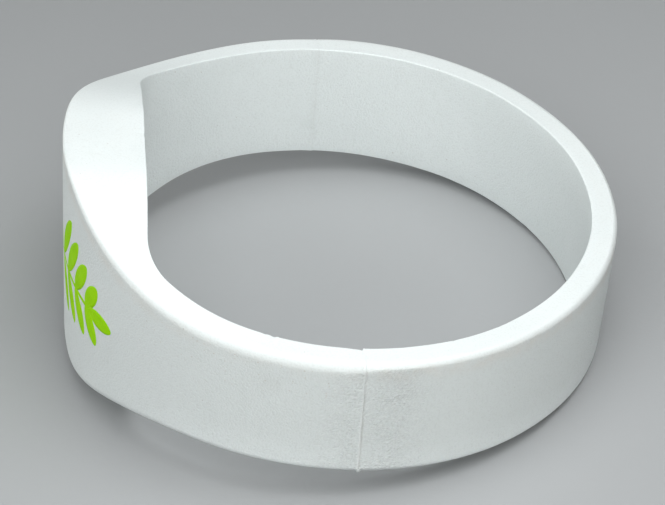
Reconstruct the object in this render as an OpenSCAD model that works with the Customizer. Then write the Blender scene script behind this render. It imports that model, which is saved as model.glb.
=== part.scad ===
// Closed silicone wristband, moulded in one piece: a round band that flares
// and thickens into a broad head. The inside of the head is flat, its outside
// follows the round of the band, and all outer edges are softly rounded.
// The band lies on its side: the head's inner lower edge and the far side of
// the band both touch the surface, so the ring tilts a little.
// The head points to -X. Millimetres, +Z up.

/* [Band] */
// Inside diameter of the round part
inner_d = 65; // [58:0.5:74]
// Thickness of the wall
wall = 3.4; // [2.6:0.1:4]
// Width of the band away from the head
band_w = 16.9; // [14:0.1:20]

/* [Head] */
// Width of the head at its middle
head_w = 30.6; // [26:0.1:34]
// Thickness of the head at its middle
head_t = 9.7; // [8:0.1:11]
// How much nearer to the axis than the band the middle of the head's outer face is
head_flatness = 0.5; // [0:0.1:2]
// Outward lean of the head's outer face towards the top, in degrees
head_lean = 2.7; // [0:0.1:4]
// Half length of the level stretch along the head's widest place
crest = 5; // [3:0.5:8]
// Distance from the head's middle, across the ring, where its flare ends
flare_end = 35.4; // [30:0.1:36]
// How soon the flare falls away from the crest
flare_power = 1.3; // [1:0.05:1.6]
// Radius of the upright corners between the flat inside and the round inside
inner_corner_r = 9; // [6:0.5:14]

/* [Edges] */
// Radius of the outer edges along the band
band_edge_r = 1.1; // [0.8:0.1:1.6]
// Radius of the outer upper edge at the middle of the head
head_edge_r = 0.6; // [0.4:0.1:1.5]
// Radius of the outer lower edge at the middle of the head
head_low_edge_r = 1.2; // [0.4:0.1:1.5]
// Radius of the inner edges
inner_edge_r = 0.35; // [0.2:0.05:0.6]

/* [Smoothness] */
// Sections round the ring
stations = 180; // [120:12:200]
// Steps in each outer rounded edge
outer_steps = 6; // [3:1:7]
// Steps in each inner rounded edge
inner_steps = 3; // [2:1:4]

/* [Hidden] */

silicone_white = [0.93, 0.94, 0.94];

inner_r = inner_d / 2;
outer_r = inner_r + wall;
// Distance of the head's flat inner face from the axis
flat_x = outer_r - head_flatness - head_t;
// Centre of the arc that rounds the corner at each end of the flat
corner_x = flat_x - inner_corner_r;
corner_y = sqrt(pow(inner_r - inner_corner_r, 2) - pow(corner_x, 2));
corner_end = atan2(corner_y, corner_x);

// Angles from the head's middle over which its shape fades into the band's
flatness_reach = 30;
lean_reach = 70;
edge_reach = 60;

// Tilt at which the head's inner lower edge and the far side's outer lower
// edge, both rounded, touch the same level surface
head_foot = [-flat_x - inner_edge_r, inner_edge_r - head_w / 2];
band_foot = [outer_r - band_edge_r, band_edge_r - band_w / 2];
foot_span = band_foot - head_foot;
rest_tilt = atan2(foot_span[1], foot_span[0]) - asin((band_edge_r - inner_edge_r) / norm(foot_span));

// Falls smoothly from 1 at the head's middle to 0 at the angle called reach
function fade(angle, reach) = abs(angle) < reach ? (1 + cos(180 * angle / reach)) / 2 : 0;

// Half the width of the ring at a distance y across it, on the head's side
function flare(y) =
    let (u = min(max((abs(y) - crest) / (flare_end - crest), 0), 1))
    pow((1 + cos(180 * u)) / 2, flare_power);
function half_width(r, angle) =
    abs(angle) < 90 ? (band_w + (head_w - band_w) * flare(r * sin(angle))) / 2 : band_w / 2;

// Plan of the ring: distance of the outer and of the inner wall from the axis
function outer_wall(angle) = outer_r - head_flatness * fade(angle, flatness_reach);
function on_flat(angle) = abs(angle) < 90 && flat_x * tan(abs(angle)) <= corner_y;
function corner_arc(angle) =
    let (along = corner_x * cos(angle) + corner_y * sin(abs(angle)))
    along + sqrt(along * along - corner_x * corner_x - corner_y * corner_y + inner_corner_r * inner_corner_r);
function inner_wall(angle) =
    on_flat(angle) ? flat_x / cos(angle) : abs(angle) < corner_end ? corner_arc(angle) : inner_r;

function outer_edge_r(angle, at_head) = band_edge_r + (at_head - band_edge_r) * fade(angle, edge_reach);

// One point of a rounded edge. turn is 0 on the wall and 90 on the end face,
// inward is 1 for the outer wall and -1 for the inner, up is 1 or -1.
function edge_point(angle, wall_r, edge_r, turn, inward, up) =
    let (
        r = wall_r - inward * edge_r * (1 - cos(turn)),
        z = up * (half_width(r, angle) - edge_r * (1 - sin(turn)))
    )
    [r, z];

// Leans the outer wall of the head
function leaned(point, angle) =
    [point[0] + tan(head_lean) * fade(angle, lean_reach) * point[1], point[1]];

// Section of the ring as [distance from axis, height], from the outer lower
// edge up the outer wall, over the top and down the inner wall
function section(angle) =
    let (
        out = outer_wall(angle),
        inn = inner_wall(angle),
        low_r = outer_edge_r(angle, head_low_edge_r),
        high_r = outer_edge_r(angle, head_edge_r),
        outer_turns = [for (i = [0:outer_steps]) 90 * i / outer_steps],
        inner_turns = [for (i = [0:inner_steps]) 90 * i / inner_steps]
    )
    concat(
        [for (i = [outer_steps:-1:0]) leaned(edge_point(angle, out, low_r, outer_turns[i], 1, -1), angle)],
        [for (i = [0:outer_steps]) leaned(edge_point(angle, out, high_r, outer_turns[i], 1, 1), angle)],
        [for (i = [inner_steps:-1:0]) edge_point(angle, inn, inner_edge_r, inner_turns[i], -1, 1)],
        [for (i = [0:inner_steps]) edge_point(angle, inn, inner_edge_r, inner_turns[i], -1, -1)]
    );

// The ring as it would be moulded, level and centred on its axis
section_size = 2 * (outer_steps + 1) + 2 * (inner_steps + 1);
level_points = [
    for (s = [0:stations - 1])
        let (angle = 360 * s / stations - 180)
        for (p = section(angle))
            [-p[0] * cos(angle), p[0] * sin(angle), p[1]]
];
ring_faces = [
    for (s = [0:stations - 1], i = [0:section_size - 1])
        let (
            a = s * section_size,
            b = ((s + 1) % stations) * section_size,
            j = (i + 1) % section_size
        )
        each [[a + i, b + i, b + j], [a + i, b + j, a + j]]
];

// The same points laid down: tilted, set on the surface and centred over the origin
function tilted(p) =
    [p[0] * cos(rest_tilt) + p[2] * sin(rest_tilt), p[1], p[2] * cos(rest_tilt) - p[0] * sin(rest_tilt)];
tilted_points = [for (p = level_points) tilted(p)];
low_x = min([for (p = tilted_points) p[0]]);
high_x = max([for (p = tilted_points) p[0]]);
low_z = min([for (p = tilted_points) p[2]]);
resting_points = [for (p = tilted_points) p - [(low_x + high_x) / 2, 0, low_z]];

module wristband() {
    color(silicone_white)
        polyhedron(points = resting_points, faces = ring_faces, convexity = 6);
}

wristband();
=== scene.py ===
"""Looks of a closed silicone wristband: the moulded ring, the print on its head, floor, light and camera."""
import math

import bpy
import numpy as np
from mathutils import Matrix, Vector


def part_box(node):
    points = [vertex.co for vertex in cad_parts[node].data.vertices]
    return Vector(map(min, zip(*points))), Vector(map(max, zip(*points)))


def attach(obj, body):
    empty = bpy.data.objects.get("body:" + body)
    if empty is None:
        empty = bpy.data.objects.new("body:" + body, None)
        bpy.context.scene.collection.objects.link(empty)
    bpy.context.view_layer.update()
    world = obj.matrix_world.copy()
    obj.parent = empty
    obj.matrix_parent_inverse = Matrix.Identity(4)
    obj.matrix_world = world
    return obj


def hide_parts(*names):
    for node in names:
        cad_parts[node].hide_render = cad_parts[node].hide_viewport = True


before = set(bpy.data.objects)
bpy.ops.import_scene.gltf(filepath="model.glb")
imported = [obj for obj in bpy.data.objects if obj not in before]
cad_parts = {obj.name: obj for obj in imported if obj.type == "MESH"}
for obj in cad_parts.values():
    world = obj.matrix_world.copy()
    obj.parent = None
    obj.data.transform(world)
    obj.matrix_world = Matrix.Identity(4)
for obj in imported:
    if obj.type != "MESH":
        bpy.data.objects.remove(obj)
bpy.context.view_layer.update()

MM = 0.001

# Main sizes of the ring, the same as the solid's
band_low, band_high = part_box("wristband")
OUTER_R = (band_high.y - band_low.y) / 2
WALL = 3.4 * MM
INNER_R = OUTER_R - WALL
BAND_W = 16.9 * MM
HEAD_W = 30.6 * MM
HEAD_T = 9.7 * MM
HEAD_FLATNESS = 0.5 * MM
HEAD_LEAN = math.radians(2.7)
CREST = 5 * MM
FLARE_END = 35.4 * MM
FLARE_POWER = 1.3
INNER_CORNER_R = 9 * MM
SOLID_BAND_EDGE_R = 1.1 * MM
SOLID_INNER_EDGE_R = 0.35 * MM
FLAT_X = OUTER_R - HEAD_FLATNESS - HEAD_T
FLATNESS_REACH = math.radians(30)
LEAN_REACH = math.radians(70)

# Outer edges as the moulding shows them: crisp on the head's top, softer round the band and under the head.
# Each pair of numbers is how far the edge is rounded in over the end face, and how many times as far it
# is rounded along the wall. The plain half's upper edge is a little tighter.
HEAD_EDGE_R = 0.32 * MM
HEAD_LOW_EDGE_R = 1.2 * MM
UPPER_EDGE = (1.1 * MM, 1.5)
PLAIN_UPPER_EDGE = (0.7 * MM, 1.3)
LOWER_EDGE = (0.55 * MM, 1.2)
INNER_EDGE_R = 0.13 * MM
EDGE_REACH = math.radians(88)

# The mould's two parting lines, as angles from the head's middle; negative is the -Y side. Each is a
# ridge with a groove beside it, and is fainter off the outside of the ring.
NEAR_SEAM = math.radians(-91.0)
FAR_SEAM = math.radians(89.1)
FAR_SEAM_SHARE = 0.6
SEAM_OFF_OUTSIDE = 0.3
SEAM_SLANT = 0.031
SEAM_HALF = 0.09 * MM
SEAM_RIDGE = 0.06 * MM
SEAM_RIDGE_AT = -1.1 * SEAM_HALF
SEAM_GROOVE = 0.05 * MM
SEAM_GROOVE_AT = 1.3 * SEAM_HALF
SEAM_GROOVE_HALF = 0.8 * SEAM_HALF

# The bead of flash where the near parting line meets the lower edge, longer down the line than across it
NUB = 0.24 * MM
NUB_HALF = 0.25 * MM
NUB_AT = 0.07 * MM
NUB_SLIMNESS = 0.7

# The step that the near parting line leaves in the inside wall: a dip before it, a small crest after it
NEAR_STEP = math.radians(-90.26)
STEP_DIP = 0.42 * MM
STEP_DIP_REACH = 0.9 * MM
STEP_CREST = 0.1 * MM
STEP_CREST_REACH = 0.6 * MM
STEP_HALF = 0.08 * MM

# Small nicks in the crisp inner rims: angle in degrees, depth and half length in millimetres.
# A negative depth stands out. More of them are scattered round both rims.
RIM_NICKS = [(-68.89, 0.05, 0.2), (-70.97, 0.10, 0.24), (-71.75, -0.05, 0.13)]
RANDOM_NICKS = 18
NICK_DEPTHS = (0.015, 0.05)
NICK_HALVES = (0.2, 0.45)
NICK_ACROSS = 0.35 * MM
NICK_SEED = 7

# How far the soft walls stray from the true ring, in waves of these lengths in millimetres
UNEVENNESS = 0.035 * MM
WAVE_LENGTHS = (110, 75, 52, 37, 26, 17)
WAVE_SEED = 3
END_FACE_SHARE = 0.4

# Sections round the ring: even ones, and finer ones at each parting line and nick. A nick's span is
# counted in its own half lengths.
EVEN_SECTIONS = 480
SEAM_SECTIONS = 45
SEAM_SPAN = 1.4 * MM
NICK_SECTIONS = 11
NICK_SPAN = 3
LEAST_GAP = 0.04 * MM

# The fields of wrinkles on the two sides of the near parting line: distance past it, half length, strength
WRINKLES_ON_PLAIN_HALF = (3.5 * MM, 3.2 * MM, 1)
WRINKLES_ON_HEAD_HALF = (-1 * MM, 3 * MM, 0.75)

# The one smudge that shows on the outer wall: its angle, its height above the ring's middle, its half
# length and half height, and its strength
SMUDGE_AT = math.radians(-72.5)
SMUDGE_HEIGHT = 4.1 * MM
SMUDGE_HALVES = (1.1 * MM, 1 * MM)
SMUDGE_STRENGTH = 0.3

# The faint stain inside at the far parting line: half width and strength
STAIN_HALF = 0.4 * MM
STAIN_STRENGTH = 0.16

# Painted shade and wear on the outer wall. The painted shade darkens the wall a little and sets in over a
# height above the lower edge and over an angle from the head's middle. Soil and dust lie below the upper
# edge, each in a band with its middle and half width: soil mostly on the head, dust mostly round one angle on
# each side, in radians.
WALL_SHADE_HEIGHT = 3 * MM
WALL_SHADE_ANGLE = math.radians(80)
SOIL_BAND = (1.4 * MM, 0.7 * MM)
SOIL_HEAD_REACH = math.radians(75)
DUST_BAND = (2.5 * MM, 3.2 * MM)
DUSTIEST_AT = 1.2
DUST_REACH = 0.75

# The printed pattern on the head's outer face: a dot in the middle and a leafy branch to each side of it.
# From the branch's tip inwards, each upper and lower leaf is longer than the last by its own growth.
DOT_D = 3.4 * MM
STEM_FROM = 2.6 * MM
STEM_TO = 16.2 * MM
STEM_W = 0.6 * MM
LEAF_FROM = 3.4 * MM
LEAF_PITCH = 3.8 * MM
LEAF_PAIRS = 4
LEAF_L = 5.4 * MM
LEAF_GROWTH = (1.7 * MM, 0.8 * MM)
LEAF_W = 2.5 * MM
LEAF_ANGLE = math.radians(57)
TIP_LEAF_OVERLAP = 0.4 * MM
INK_PROUD = 0.012 * MM
INK_SUNK = 0.05 * MM

# Outlines of a stroke of ink, as the powers that round its ends and fill it out
ROUND_DOT = (0.5, 2)
LONG_STEM = (0.5, 30)
POINTED_LEAF = (0.6, 2)
STROKE_ROWS = 33
STROKE_COLUMNS = 7
STROKE_LEAST_HALF = 0.005 * MM

# Camera, placed round the ring's centre, and how far it sees
AZIMUTH = math.radians(-3.322)
ELEVATION = math.radians(37.427)
ROLL = math.radians(-1.45)
DISTANCE = 429.073 * MM
AIM_RIGHT = 0.395 * MM
AIM_UP = 1.309 * MM
LENS_MM = 177.899
SENSOR_MM = 36
NEAREST, FURTHEST = 0.01, 20

# How far the floor reaches each way
FLOOR_REACH = 4.0

# Softboxes: azimuth (0 is the -Y side) and elevation in degrees, distance and side in metres,
# strength in watts, and tint
HIGH_TINT = (0.955, 0.99, 1.0)
LOW_TINT = (0.97, 1.0, 0.985)
WARM_TINT = (1.0, 0.985, 0.97)
SOFTBOXES = {
    "key": (0, 65, 0.17, 0.17, 0.2, HIGH_TINT),
    "overhead_right": (100, 70, 0.3, 0.25, 0.42, HIGH_TINT),
    "front_left": (-40, 45, 0.4, 0.3, 0.295, HIGH_TINT),
    "behind": (180, 40, 0.6, 0.5, 0.09, HIGH_TINT),
    "low_front": (0, 10, 0.5, 0.3, 0.655, LOW_TINT),
    "right": (35, 38, 0.5, 0.3, 0.28, WARM_TINT),
    "left": (-90, 30, 0.5, 0.4, 0.375, LOW_TINT),
    "behind_left": (-130, 6, 0.5, 0.1, 0.56, LOW_TINT),
}
ROOM_COLOUR = (0.97, 1.0, 1.0, 1)
ROOM_STRENGTH = 0.01

# Colours of the silicone's clouds, of its grain with its painted shade and highlight, of the painted shade on
# the outer wall, of the partly painted highlight on the parting line's ridge, and of what has soiled it
SILICONE = ((0.82, 0.857, 0.848, 1), (0.842, 0.877, 0.868, 1))
PAINTED_WALL_SHADE = (0.70, 0.73, 0.715, 1)
BLOTCHED = (0.70, 0.74, 0.71, 1)
PEEL_PIT_SHADE = (0.55, 0.56, 0.54, 1)
WRINKLE_PIT_SHADE = (0.5, 0.51, 0.49, 1)
WRINKLE_TOP_HIGHLIGHT = (0.90, 0.93, 0.915, 1)
RIDGE_PALENESS_AND_HIGHLIGHT = (0.93, 0.95, 0.94, 1)
SMALL_SPECK = (0.42, 0.36, 0.31, 1)
LARGE_SPECK = (0.45, 0.42, 0.38, 1)
DUST = (0.50, 0.39, 0.30, 1)
DIRT = (0.42, 0.40, 0.36, 1)
SOIL = (0.785, 0.725, 0.66, 1)

# Colours of the ink and of the floor
INK = ((0.36, 0.77, 0.002, 1), (0.41, 0.83, 0.004, 1))
THIN_INK = (0.55, 0.82, 0.20, 1)
FLOOR = ((0.405, 0.41, 0.415, 1), (0.435, 0.438, 0.442, 1))


def fade(value, reach):
    """Falls smoothly from 1 at zero to 0 at the value called reach, to both sides."""
    inside = np.abs(value) < reach
    return np.where(inside, (1 + np.cos(np.pi * value / reach)) / 2, 0)


def bell(distance, half):
    """A smooth bump of height 1 that is down to 0.6 at the distance called half, to both sides."""
    return np.exp(-0.5 * (distance / half) ** 2)


def half_width(radius, angle):
    """Half the width of the ring, which widens towards the head."""
    across = np.abs(radius * np.sin(angle))
    share = np.clip((across - CREST) / (FLARE_END - CREST), 0, 1)
    flare = ((1 + np.cos(np.pi * share)) / 2) ** FLARE_POWER
    on_head_side = np.abs(angle) < math.pi / 2
    return (BAND_W + (HEAD_W - BAND_W) * np.where(on_head_side, flare, 0)) / 2


def outer_wall(angle):
    """Distance of the outer wall from the axis: round, and a little flattened at the head's middle."""
    return OUTER_R - HEAD_FLATNESS * fade(angle, FLATNESS_REACH)


def inner_wall(angle):
    """Distance of the inner wall from the axis: flat inside the head, then an arc, then round."""
    corner_x = FLAT_X - INNER_CORNER_R
    corner_y = math.sqrt((INNER_R - INNER_CORNER_R) ** 2 - corner_x ** 2)
    corner_end = math.atan2(corner_y, corner_x)
    turn = np.abs(angle)
    on_flat = turn < math.atan2(corner_y, FLAT_X)
    along = corner_x * np.cos(turn) + corner_y * np.sin(turn)
    inside_root = np.maximum(along ** 2 - corner_x ** 2 - corner_y ** 2 + INNER_CORNER_R ** 2, 0)
    corner = along + np.sqrt(inside_root)
    flat = FLAT_X / np.maximum(np.cos(turn), 0.1)
    smooth = np.where(on_flat, flat, np.where(turn < corner_end, corner, INNER_R))
    return smooth - seam_step(angle)


def lean(angle):
    """How much further out the outer wall is for each metre further up."""
    return math.tan(HEAD_LEAN) * fade(angle, LEAN_REACH)


def past_seam(angle, seam, radius, height=0):
    """Distance along the ring from a parting line, positive on the plain half's side, or else far off."""
    same_side = angle * seam > 0
    far_off = 1
    return np.where(same_side, (np.abs(angle) - abs(seam)) * radius + SEAM_SLANT * height, far_off)


def plain_half(angle):
    """Rises within a few millimetres from 0 on the head's half of the ring to 1 on the plain half."""
    past = (np.abs(angle) - abs(NEAR_SEAM)) * OUTER_R
    return 1 / (1 + np.exp(-past / MM))


def seam_step(angle):
    """How far in the inside wall is at the near parting line: a gentle dip, then a sudden small crest."""
    past = past_seam(angle, NEAR_STEP, INNER_R)
    dip = -STEP_DIP * np.exp(-np.abs(past) / STEP_DIP_REACH)
    crest = STEP_CREST * np.exp(-np.abs(past) / STEP_CREST_REACH)
    return dip + (crest - dip) * (1 + np.tanh(past / STEP_HALF)) / 2


def outer_edge(angle, at_head, soft, plain):
    """How far an outer edge is rounded in over the end face and along the wall."""
    on_head_half = soft[0] + (at_head - soft[0]) * fade(angle, EDGE_REACH)
    plain_share = plain_half(angle)
    reach = on_head_half + (plain[0] - on_head_half) * plain_share
    return reach, reach * (soft[1] + (plain[1] - soft[1]) * plain_share)


# Steps along each stretch of the section, in order round it
STRETCHES = {
    "outer": 30, "outer_top": 12, "top": 8, "inner_top": 6,
    "inner": 16, "inner_bottom": 6, "bottom": 8, "outer_bottom": 12,
}
SECTION_SIZE = sum(STRETCHES.values())
INSIDE = ("inner_top", "inner", "inner_bottom")
END_FACES = ("top", "bottom")


def stretch_slices():
    """Where each stretch of the section lies in its row of points."""
    starts = np.cumsum([0] + list(STRETCHES.values()))
    return {name: slice(starts[i], starts[i + 1]) for i, name in enumerate(STRETCHES)}


PLACE = stretch_slices()


def section(angle):
    """The ring's closed section at each angle, one row each: radius, height and outward direction."""
    angle = angle[:, None]
    outer, inner = outer_wall(angle), inner_wall(angle)
    upper = outer_edge(angle, HEAD_EDGE_R, UPPER_EDGE, PLAIN_UPPER_EDGE)
    lower = outer_edge(angle, HEAD_LOW_EDGE_R, LOWER_EDGE, LOWER_EDGE)
    small = (INNER_EDGE_R, INNER_EDGE_R)
    slope = lean(angle)
    one = np.ones_like(angle)

    def steps(name):
        return (np.arange(STRETCHES[name]) / STRETCHES[name])[None, :]

    def edge(wall_r, reach, turn, inward, up):
        radius = wall_r - inward * reach[0] * (1 - np.cos(turn))
        height = up * (half_width(radius, angle) - reach[1] * (1 - np.sin(turn)))
        return radius, height, inward * np.cos(turn) * one, up * np.sin(turn) * one

    def wall(wall_r, low_reach, high_reach, share, inward):
        low = low_reach[1] - half_width(wall_r, angle)
        height = low + (half_width(wall_r, angle) - high_reach[1] - low) * share
        return wall_r + 0 * height, height, inward * np.ones_like(height), np.zeros_like(height)

    def face(share, up):
        start = outer - (upper if up > 0 else lower)[0]
        radius = start + (inner + small[0] - start) * share
        height = up * half_width(radius, angle)
        return radius + slope * height * (1 - share), height, np.zeros_like(height), up * np.ones_like(height)

    def leaned(stretch):
        radius, height, way_r, way_z = stretch
        return radius + slope * height, height, way_r, way_z

    quarter = math.pi / 2
    rows = {
        "outer": leaned(wall(outer, lower, upper, steps("outer"), 1)),
        "outer_top": leaned(edge(outer, upper, quarter * steps("outer_top"), 1, 1)),
        "top": face(steps("top"), 1),
        "inner_top": edge(inner, small, quarter * (1 - steps("inner_top")), -1, 1),
        "inner": wall(inner, small, small, 1 - steps("inner"), -1),
        "inner_bottom": edge(inner, small, quarter * steps("inner_bottom"), -1, -1),
        "bottom": face(1 - steps("bottom"), -1),
        "outer_bottom": leaned(edge(outer, lower, quarter * (1 - steps("outer_bottom")), 1, -1)),
    }
    return [np.hstack([rows[name][i] for name in STRETCHES]) for i in range(4)]


def by_stretch(elsewhere, shares):
    """A number for each point of a section, from a number for each stretch that is named."""
    values = np.full(SECTION_SIZE, float(elsewhere))
    for name, share in shares.items():
        values[PLACE[name]] = share
    return values


def on_outer_wall(elsewhere):
    """A share for each point of a section: 1 on the outer wall, and gone half way over its rounded edges."""
    share = by_stretch(elsewhere, {"outer": 1})
    for name, towards_wall in (("outer_top", False), ("outer_bottom", True)):
        run = np.arange(STRETCHES[name]) / STRETCHES[name]
        off_wall = 1 - run if towards_wall else run
        share[PLACE[name]] = elsewhere + (1 - elsewhere) * fade(off_wall, 0.5)
    return share


def nick_list():
    """Each nick as angle, depth, half length and edge: those that show, and more round the inner rims."""
    nicks = [(math.radians(a), d * MM, h * MM, "inner_top") for a, d, h in RIM_NICKS]
    random = np.random.default_rng(NICK_SEED)
    for i in range(RANDOM_NICKS):
        angle = random.uniform(-math.pi, math.pi)
        depth = random.uniform(*NICK_DEPTHS) * MM
        half = random.uniform(*NICK_HALVES) * MM
        nicks.append((angle, depth, half, "inner_top" if i % 3 else "inner_bottom"))
    return nicks


def stations(nicks):
    """Angles of the sections: even steps, with finer ones at the parting lines and the nicks."""
    angles = [np.linspace(-math.pi, math.pi, EVEN_SECTIONS, endpoint=False)]
    for seam in (NEAR_SEAM, FAR_SEAM):
        angles.append(seam + np.linspace(-SEAM_SPAN, SEAM_SPAN, SEAM_SECTIONS) / OUTER_R)
    for angle, _, half, _ in nicks:
        angles.append(angle + np.linspace(-NICK_SPAN, NICK_SPAN, NICK_SECTIONS) * half / INNER_R)
    merged = np.sort(np.concatenate(angles))
    merged = merged[(merged >= -math.pi) & (merged < math.pi)]
    spaced = [merged[0]]
    for angle in merged[1:]:
        if angle - spaced[-1] > LEAST_GAP / OUTER_R:
            spaced.append(angle)
    return np.array(spaced)


def waves(angle, height, lengths, seed):
    """A smooth unevenness of height about 1 that closes on itself round the ring."""
    random = np.random.default_rng(seed)
    total = 0
    for length in lengths:
        turns = round(2 * math.pi * OUTER_R / (length * MM))
        rise = random.uniform(-1, 1) / (length * MM)
        total = total + np.sin(turns * angle + 2 * math.pi * rise * height + random.uniform(0, 2 * math.pi))
    return total / math.sqrt(len(lengths))


def unevenness(angle, height):
    """How far the soft walls stray outwards from the true ring."""
    return UNEVENNESS * waves(angle, height, WAVE_LENGTHS, WAVE_SEED)


def relief(angle, radius, height, nicks):
    """How far each point stands out from the plain section: parting lines, flash, nicks and unevenness."""
    column = angle[:, None]
    step_r = np.diff(radius, axis=1, prepend=radius[:, :1])
    step_z = np.diff(height, axis=1, prepend=height[:, :1])
    run = np.cumsum(np.hypot(step_r, step_z), axis=1)
    rise = np.zeros_like(radius)

    def middle(name):
        return run[:, (PLACE[name].start + PLACE[name].stop) // 2][:, None]

    # The parting lines run over the outside and, fainter, over the end faces and the inside
    strength = by_stretch(1, dict.fromkeys(INSIDE + END_FACES, SEAM_OFF_OUTSIDE))
    for seam, size in ((NEAR_SEAM, 1.0), (FAR_SEAM, FAR_SEAM_SHARE)):
        past = past_seam(column, seam, OUTER_R, height)
        line = SEAM_RIDGE * bell(past - SEAM_RIDGE_AT, SEAM_HALF)
        line = line - SEAM_GROOVE * bell(past - SEAM_GROOVE_AT, SEAM_GROOVE_HALF)
        rise += size * line * strength

    # The bead of flash has a flat top and steep sides
    past = past_seam(column, NEAR_SEAM, OUTER_R, height) - NUB_AT
    off = np.hypot(past, NUB_SLIMNESS * (run - middle("outer_bottom"))) / NUB_HALF
    rise += NUB * np.exp(-off ** 4)

    for nick_angle, depth, half, edge in nicks:
        along = (column - nick_angle) * INNER_R
        rise -= depth * bell(along, half) * bell(run - middle(edge), NICK_ACROSS)

    share = by_stretch(1, dict.fromkeys(INSIDE, -1) | dict.fromkeys(END_FACES, END_FACE_SHARE))
    return rise + unevenness(column, height) * share


def rest_tilt():
    """Tilt at which the solid's inner lower edge at the head and the far side's outer one touch the floor."""
    foot = Vector((-FLAT_X - SOLID_INNER_EDGE_R, SOLID_INNER_EDGE_R - HEAD_W / 2))
    far_foot = Vector((OUTER_R - SOLID_BAND_EDGE_R, SOLID_BAND_EDGE_R - BAND_W / 2))
    span = far_foot - foot
    return math.atan2(span.y, span.x) - math.asin((SOLID_BAND_EDGE_R - SOLID_INNER_EDGE_R) / span.length)


TILT = rest_tilt()


def laid_down(radius, height, angle):
    """Points of the level ring turned to the tilt at which it rests."""
    x, y = -radius * np.cos(angle), radius * np.sin(angle)
    turned_x = x * math.cos(TILT) + height * math.sin(TILT)
    turned_z = height * math.cos(TILT) - x * math.sin(TILT)
    return np.stack([turned_x, y, turned_z], axis=-1)


def set_down_shift():
    """Moves the laid down ring to where the solid is: on the surface, centred over the origin."""
    angle = np.linspace(-math.pi, math.pi, 360, endpoint=False)
    radius, height, _, _ = section(angle)
    points = laid_down(radius, height, angle[:, None]).reshape(-1, 3)
    low, high = points.min(axis=0), points.max(axis=0)
    middle_x = (band_low.x + band_high.x) / 2
    return np.array([middle_x - (low[0] + high[0]) / 2, 0, band_low.z - low[2]])


SET_DOWN = set_down_shift()


def in_place(radius, height, angle):
    """Points of the level ring where they are in the scene."""
    return laid_down(radius, height, angle) + SET_DOWN


def new_mesh(name, points, faces):
    """A smooth-shaded mesh object from points in metres."""
    mesh = bpy.data.meshes.new(name)
    mesh.from_pydata([tuple(p) for p in points], [], faces)
    mesh.validate()
    mesh.polygons.foreach_set("use_smooth", [True] * len(mesh.polygons))
    mesh.update()
    piece = bpy.data.objects.new(name, mesh)
    bpy.context.scene.collection.objects.link(piece)
    return piece


def closed_grid(rows, size):
    """Faces between rows of points, where the rows and each row's points both close on themselves."""
    faces = []
    for row in range(rows):
        here, there = row * size, ((row + 1) % rows) * size
        for i in range(size):
            j = (i + 1) % size
            faces.append((here + i, here + j, there + j, there + i))
    return faces


def moulded_looks(angle, height):
    """How much each look that the mould left, and the painted highlight on the parting line's ridge, shows at
    each point of the ring.
    """
    # The grain shows on the walls and hardly on the edges and end faces
    grained = on_outer_wall(0.15)
    grained[PLACE["inner"]] = 1

    # Beside the near parting line the grain is a field of fine wrinkles
    outside = on_outer_wall(0.1)
    past = past_seam(angle[:, None], NEAR_SEAM, OUTER_R)

    def field(middle, half, strength):
        return strength * bell(past - middle, half)

    beside_seam = np.where(past > 0, field(*WRINKLES_ON_PLAIN_HALF), field(*WRINKLES_ON_HEAD_HALF))

    # The thin ridge beside the near parting line's groove is paler, most so low down: partly the thin flash
    # being whiter, partly a painted highlight for the light that the ridge catches
    past_ridge = past_seam(angle[:, None], NEAR_SEAM, OUTER_R, height) - SEAM_RIDGE_AT
    low_down = 0.25 + 0.75 / (1 + np.exp((height - MM) / (1.5 * MM)))
    ridge_paleness_and_highlight = bell(past_ridge, SEAM_HALF) * low_down * outside
    return {
        "grained": np.tile(grained, len(angle)),
        "wrinkles": beside_seam * outside,
        "ridge_paleness_and_highlight": ridge_paleness_and_highlight,
    }


def worn_looks(angle, radius, height):
    """How much each look that wear has left, and the painted shade on the outer wall, shows at each point of
    the ring.
    """
    column = angle[:, None]
    outside, outer_only = on_outer_wall(0.1), on_outer_wall(0)

    # Dirt lies in the parting lines' grooves, and as a wide faint stain inside at the far one
    dirt = sum(bell(past_seam(column, seam, OUTER_R, height) - SEAM_GROOVE_AT, SEAM_HALF)
               for seam in (NEAR_SEAM, FAR_SEAM)) * outside
    inside = by_stretch(0, {"inner": STAIN_STRENGTH})
    dirt = dirt + bell(past_seam(column, FAR_SEAM, INNER_R, height), STAIN_HALF) * inside

    # One faint smudge shows on the outer wall
    across = (column - SMUDGE_AT) * OUTER_R
    smudge = bell(across, SMUDGE_HALVES[0]) * bell(height - SMUDGE_HEIGHT, SMUDGE_HALVES[1]) * outside

    # Painted shade darkens the outer wall a little, except low down and on the head's face
    above_edge = height - height[:, PLACE["outer"].start][:, None]
    off_low = 1 - np.exp(-(np.maximum(above_edge, 0) / WALL_SHADE_HEIGHT) ** 2)
    off_head = 1 - fade(column, WALL_SHADE_ANGLE)

    # It has soiled the wall just below the outer upper edge, and dusted it with specks
    on_outside = radius > inner_wall(column) + MM
    soil_amount = 0.3 + 0.7 * fade(column, SOIL_HEAD_REACH) + 0.5 * plain_half(column)
    dust_amount = 0.25 + 0.75 * fade(np.abs(column) - DUSTIEST_AT, DUST_REACH)
    below_top = half_width(outer_wall(column), column) - height

    def in_band(middle, half):
        return bell(below_top - middle, half)

    return {
        "dirt": dirt + SMUDGE_STRENGTH * smudge,
        "painted_wall_shade": off_low * off_head * outer_only,
        "soiled": np.where(on_outside, in_band(*SOIL_BAND), 0) * soil_amount,
        "dusted": in_band(*DUST_BAND) * dust_amount * outer_only,
    }


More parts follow.
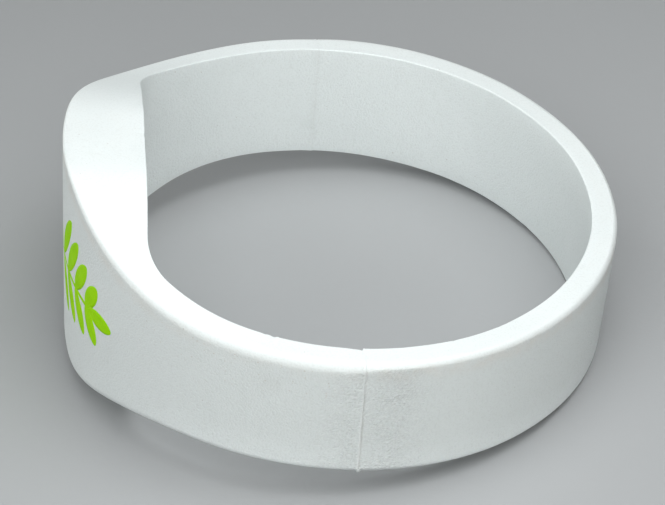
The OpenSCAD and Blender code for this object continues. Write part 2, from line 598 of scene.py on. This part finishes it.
def make_band():
    """The moulded ring as one closed mesh, with a number at each point for each look of its material."""
    nicks = nick_list()
    angle = stations(nicks)
    radius, height, way_r, way_z = section(angle)
    rise = relief(angle, radius, height, nicks)
    points = in_place(radius + way_r * rise, height + way_z * rise, angle[:, None])
    piece = new_mesh("band", points.reshape(-1, 3), closed_grid(*radius.shape))
    for name, values in (moulded_looks(angle, height) | worn_looks(angle, radius, height)).items():
        attribute = piece.data.attributes.new(name, "FLOAT", "POINT")
        attribute.data.foreach_set("value", np.asarray(values, np.float32).ravel())
    return piece


def ink_stroke(start, length, turn, width, outline):
    """One closed straight stroke of ink on the head's outer face: its points and faces."""
    end_power, fill_power = outline
    share = (1 - np.cos(np.linspace(0, math.pi, STROKE_ROWS)))[:, None] / 2
    half = width / 2 * (1 - np.abs(2 * share - 1) ** fill_power) ** end_power
    side = np.maximum(half, STROKE_LEAST_HALF) * np.linspace(-1, 1, STROKE_COLUMNS)
    along = start[0] + length * share * math.cos(turn) - side * math.sin(turn)
    up = start[1] + length * share * math.sin(turn) + side * math.cos(turn)
    angle = along / outer_wall(0)
    layers = []
    for proud in (INK_PROUD, -INK_SUNK):
        radius = outer_wall(angle) + lean(angle) * up
        radius = radius + unevenness(angle, up) + proud
        layers.append(in_place(radius, up, angle).reshape(-1, 3))
    count = STROKE_ROWS * STROKE_COLUMNS
    cells = np.arange(count).reshape(STROKE_ROWS, STROKE_COLUMNS)
    faces = []
    for i in range(STROKE_ROWS - 1):
        for j in range(STROKE_COLUMNS - 1):
            quad = (cells[i, j], cells[i, j + 1], cells[i + 1, j + 1], cells[i + 1, j])
            faces += [quad, tuple(count + k for k in quad[::-1])]
    rim = np.concatenate([cells[:-1, 0], cells[-1, :-1], cells[:0:-1, -1], cells[0, :0:-1]])
    for a, b in zip(rim, np.roll(rim, -1)):
        faces.append((a, b, count + b, count + a))
    return np.concatenate(layers), faces


def make_print():
    """The dot and the two leafy branches printed on the head, as one mesh."""
    strokes = [ink_stroke((-DOT_D / 2, 0), DOT_D, 0, DOT_D, ROUND_DOT)]
    for side, facing in ((1, 0), (-1, math.pi)):
        strokes.append(ink_stroke((side * STEM_FROM, 0), STEM_TO - STEM_FROM, facing, STEM_W, LONG_STEM))
        tip = (side * (STEM_TO - TIP_LEAF_OVERLAP), 0)
        strokes.append(ink_stroke(tip, LEAF_L, facing, LEAF_W, POINTED_LEAF))
        for i in range(LEAF_PAIRS):
            foot = (side * (LEAF_FROM + i * LEAF_PITCH), 0)
            for turn, growth in zip((LEAF_ANGLE, -LEAF_ANGLE), LEAF_GROWTH):
                length = LEAF_L + (LEAF_PAIRS - 1 - i) * growth
                strokes.append(ink_stroke(foot, length, facing + side * turn, LEAF_W, POINTED_LEAF))
    points, faces = [], []
    for stroke_points, stroke_faces in strokes:
        start = sum(len(p) for p in points)
        points.append(stroke_points)
        faces += [tuple(int(start + i) for i in face) for face in stroke_faces]
    return new_mesh("head_print", np.concatenate(points), faces)


class Nodes:
    """Builds one material's node tree."""

    def __init__(self, name):
        self.material = bpy.data.materials.new(name)
        self.material.use_nodes = True
        self.tree = self.material.node_tree
        self.shader = self.tree.nodes["Principled BSDF"]
        self.place = self.add("ShaderNodeTexCoord").outputs["Object"]

    def add(self, kind, **settings):
        node = self.tree.nodes.new(kind)
        for name, value in settings.items():
            setattr(node, name, value)
        return node

    def put(self, socket, value):
        """Links a socket to another node's output, or sets it to a constant."""
        if hasattr(value, "is_linked"):
            self.tree.links.new(value, socket)
        else:
            socket.default_value = value

    def noise(self, grain_mm, detail=2.0, rough=0.5, place=None):
        """Noise whose lumps are about grain_mm across."""
        node = self.add("ShaderNodeTexNoise")
        self.put(node.inputs["Vector"], place or self.place)
        self.put(node.inputs["Scale"], 1 / (grain_mm * MM))
        self.put(node.inputs["Detail"], detail)
        self.put(node.inputs["Roughness"], rough)
        return node.outputs["Fac"]

    def math(self, operation, a, b=0.0):
        node = self.add("ShaderNodeMath", operation=operation)
        self.put(node.inputs[0], a)
        self.put(node.inputs[1], b)
        return node.outputs[0]

    def times(self, a, b):
        return self.math("MULTIPLY", a, b)

    def span(self, value, low, high, to_low=0.0, to_high=1.0):
        """Maps low..high onto to_low..to_high, smoothly and clamped."""
        node = self.add("ShaderNodeMapRange", interpolation_type="SMOOTHSTEP")
        for name, number in (("Value", value), ("From Min", low), ("From Max", high),
                             ("To Min", to_low), ("To Max", to_high)):
            self.put(node.inputs[name], number)
        return node.outputs["Result"]

    def mix(self, share, a, b):
        """Colour a turned into colour b by a share."""
        node = self.add("ShaderNodeMix", data_type="RGBA")
        self.put(node.inputs["Factor"], share)
        self.put(node.inputs["A"], a)
        self.put(node.inputs["B"], b)
        return node.outputs["Result"]

    def value(self, name):
        """A number that the mesh gives at each point."""
        return self.add("ShaderNodeAttribute", attribute_name=name).outputs["Fac"]

    def turned(self, degrees, stretch):
        """Coordinates turned about Y and stretched along the turned X, for grain with a direction."""
        node = self.add("ShaderNodeMapping", vector_type="TEXTURE")
        self.put(node.inputs["Vector"], self.place)
        node.inputs["Rotation"].default_value = (0, math.radians(degrees), 0)
        node.inputs["Scale"].default_value = (stretch, 1, 1)
        return node.outputs["Vector"]

    def specks(self, cell_mm, size_mm, share):
        """1 on round specks of up to size_mm in radius, which a share of the cells have, 0 elsewhere."""
        node = self.add("ShaderNodeTexVoronoi")
        self.put(node.inputs["Vector"], self.place)
        self.put(node.inputs["Scale"], 1 / (cell_mm * MM))
        pick = self.add("ShaderNodeSeparateColor")
        self.put(pick.inputs[0], node.outputs["Color"])
        chosen = self.math("LESS_THAN", pick.outputs[0], share)
        reach = self.times(pick.outputs[1], size_mm / cell_mm)
        near = self.span(self.math("DIVIDE", node.outputs["Distance"], reach), 1.0, 0.4)
        return self.times(near, chosen)

    def bump(self, height, depth_mm, below=None):
        node = self.add("ShaderNodeBump")
        self.put(node.inputs["Height"], height)
        node.inputs["Distance"].default_value = depth_mm * MM
        if below is not None:
            self.put(node.inputs["Normal"], below)
        return node.outputs["Normal"]

    def shaded(self, base, roughness, specular, normal):
        """The material, once its shader's own sockets are set."""
        self.put(self.shader.inputs["Base Color"], base)
        self.put(self.shader.inputs["Roughness"], roughness)
        self.put(self.shader.inputs["Specular IOR Level"], specular)
        self.put(self.shader.inputs["Normal"], normal)
        return self.material


def with_grain(n, base):
    """Fine peel on the walls and slanting wrinkles beside the near parting line, with painted shade in the
    pits, painted highlight on the wrinkle tops, and the ridge beside the near parting line painted paler.
    """
    peel = n.noise(0.24, 1, 0.5)
    wrinkle = n.noise(0.145, 1, 0.5, n.turned(-35, 2.2))
    patchy = n.span(n.noise(3.5, 2), 0.3, 0.6, 0.65, 1.0)
    wrinkled = n.times(n.value("wrinkles"), patchy)
    # Painted shade in the pits of the peel and the wrinkles, and painted highlight on the wrinkle tops
    base = n.mix(n.times(n.span(peel, 0.55, 0.25), 0.165), base, PEEL_PIT_SHADE)
    base = n.mix(n.times(n.span(wrinkle, 0.5, 0.3), n.times(wrinkled, 0.34)), base, WRINKLE_PIT_SHADE)
    base = n.mix(n.times(n.span(wrinkle, 0.52, 0.7), n.times(wrinkled, 0.6)), base, WRINKLE_TOP_HIGHLIGHT)
    # The ridge is painted paler: partly whiter flash, partly a painted highlight
    base = n.mix(n.times(n.value("ridge_paleness_and_highlight"), 0.7), base, RIDGE_PALENESS_AND_HIGHLIGHT)
    normal = n.bump(n.times(peel, n.value("grained")), 0.1)
    return base, n.bump(n.times(wrinkle, wrinkled), 0.25, normal)


def with_soiling(n, base):
    """Small and large specks all over, dust and soil where handling left them, and dirt in the grooves."""
    base = n.mix(n.times(n.specks(0.9, 0.14, 0.14), 0.45), base, SMALL_SPECK)
    dust = n.times(n.specks(0.4, 0.15, 0.45), n.value("dusted"))
    base = n.mix(n.times(dust, 0.42), base, DUST)
    base = n.mix(n.times(n.specks(5.0, 0.4, 0.10), 0.2), base, LARGE_SPECK)
    patches = n.noise(2.2, 3)
    base = n.mix(n.times(n.value("dirt"), n.span(patches, 0.35, 0.7, 0.2, 0.42)), base, DIRT)
    return n.mix(n.times(n.value("soiled"), n.span(patches, 0.3, 0.65, 0.12, 0.45)), base, SOIL)


def silicone():
    """Matt silicone: cool white, faintly clouded and blotched, with a fine grain and a little soiling, with
    painted shade on the outer wall and in the grain's pits, and painted highlight on the wrinkle tops and the
    seam's ridge.
    """
    n = Nodes("silicone")
    base = n.mix(n.span(n.noise(16, 3), 0.35, 0.65), *SILICONE)
    # Painted shade: the outer wall is darkened a little, except low down and on the head's face
    base = n.mix(n.times(n.value("painted_wall_shade"), 0.5), base, PAINTED_WALL_SHADE)
    base = n.mix(n.times(n.span(n.noise(4.5, 4, 0.6), 0.60, 0.78), 0.2), base, BLOTCHED)
    base, normal = with_grain(n, base)
    roughness = n.span(n.noise(1.1, 3), 0.3, 0.7, 0.46, 0.58)
    return n.shaded(with_soiling(n, base), roughness, 0.4, normal)


def ink():
    """Flat apple-green ink, matt and a little uneven, with the silicone's grain under it."""
    n = Nodes("print_ink")
    base = n.mix(n.span(n.noise(2.6, 4, 0.6), 0.3, 0.7), *INK)
    base = n.mix(n.times(n.specks(0.9, 0.16, 0.10), 0.3), base, THIN_INK)
    roughness = n.span(n.noise(0.8, 3), 0.3, 0.7, 0.6, 0.7)
    return n.shaded(base, roughness, 0.06, n.bump(n.noise(0.24, 1, 0.5), 0.06))


def floor_paint():
    """Plain pale matt floor."""
    n = Nodes("floor_paint")
    return n.shaded(n.mix(n.noise(120, 3), *FLOOR), 0.8, 0.2, n.bump(n.noise(0.9, 3, 0.6), 0.02))


def make_floor():
    """A level floor at the height of the surface that the solid rests on."""
    low, high = -FLOOR_REACH, FLOOR_REACH
    corners = [(low, low, 0), (high, low, 0), (high, high, 0), (low, high, 0)]
    floor = new_mesh("floor", corners, [(0, 1, 2, 3)])
    floor.data.materials.append(floor_paint())


def make_camera():
    """The camera, turned and moved from one that would look straight at the ring's centre."""
    level_back = Vector((math.sin(AZIMUTH), -math.cos(AZIMUTH), 0))
    back = level_back * math.cos(ELEVATION) + Vector((0, 0, math.sin(ELEVATION)))
    level_right = Vector((math.cos(AZIMUTH), math.sin(AZIMUTH), 0))
    level_up = back.cross(level_right)
    right = level_right * math.cos(ROLL) + level_up * math.sin(ROLL)
    up = back.cross(right)
    centre = Vector(SET_DOWN)
    place = centre + back * DISTANCE - level_right * AIM_RIGHT - level_up * AIM_UP
    lens = bpy.data.cameras.new("camera")
    lens.lens = LENS_MM
    lens.sensor_width = SENSOR_MM
    lens.clip_start, lens.clip_end = NEAREST, FURTHEST
    camera = bpy.data.objects.new("camera", lens)
    camera.matrix_world = Matrix.Translation(place) @ Matrix((right, up, back)).transposed().to_4x4()
    bpy.context.scene.collection.objects.link(camera)
    bpy.context.scene.camera = camera


def soft_light(name, azimuth, elevation, distance, size, strength, tint):
    """A square softbox that faces the middle of the scene."""
    a, e = math.radians(azimuth), math.radians(elevation)
    back = Vector((math.sin(a) * math.cos(e), -math.cos(a) * math.cos(e), math.sin(e)))
    lamp = bpy.data.lights.new(name, "AREA")
    lamp.shape = "SQUARE"
    lamp.size = size
    lamp.energy = strength
    lamp.color = tint
    light = bpy.data.objects.new(name, lamp)
    light.rotation_mode = "QUATERNION"
    light.rotation_quaternion = (-back).to_track_quat("-Z", "Y")
    light.location = Vector((0, 0, band_high.z / 2)) + back * distance
    light.visible_camera = False
    bpy.context.scene.collection.objects.link(light)


def make_light():
    """The softboxes, and a very faint light from all round."""
    world = bpy.data.worlds.new("room")
    world.use_nodes = True
    world.node_tree.nodes["Background"].inputs["Color"].default_value = ROOM_COLOUR
    world.node_tree.nodes["Background"].inputs["Strength"].default_value = ROOM_STRENGTH
    bpy.context.scene.world = world
    for name, settings in SOFTBOXES.items():
        soft_light(name, *settings)
    bpy.context.scene.view_settings.view_transform = "Standard"


make_camera()
make_floor()
make_light()

band = make_band()
band.data.materials.append(silicone())
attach(band, "root")
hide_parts("wristband")

head_print = make_print()
head_print.data.materials.append(ink())
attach(head_print, "root")
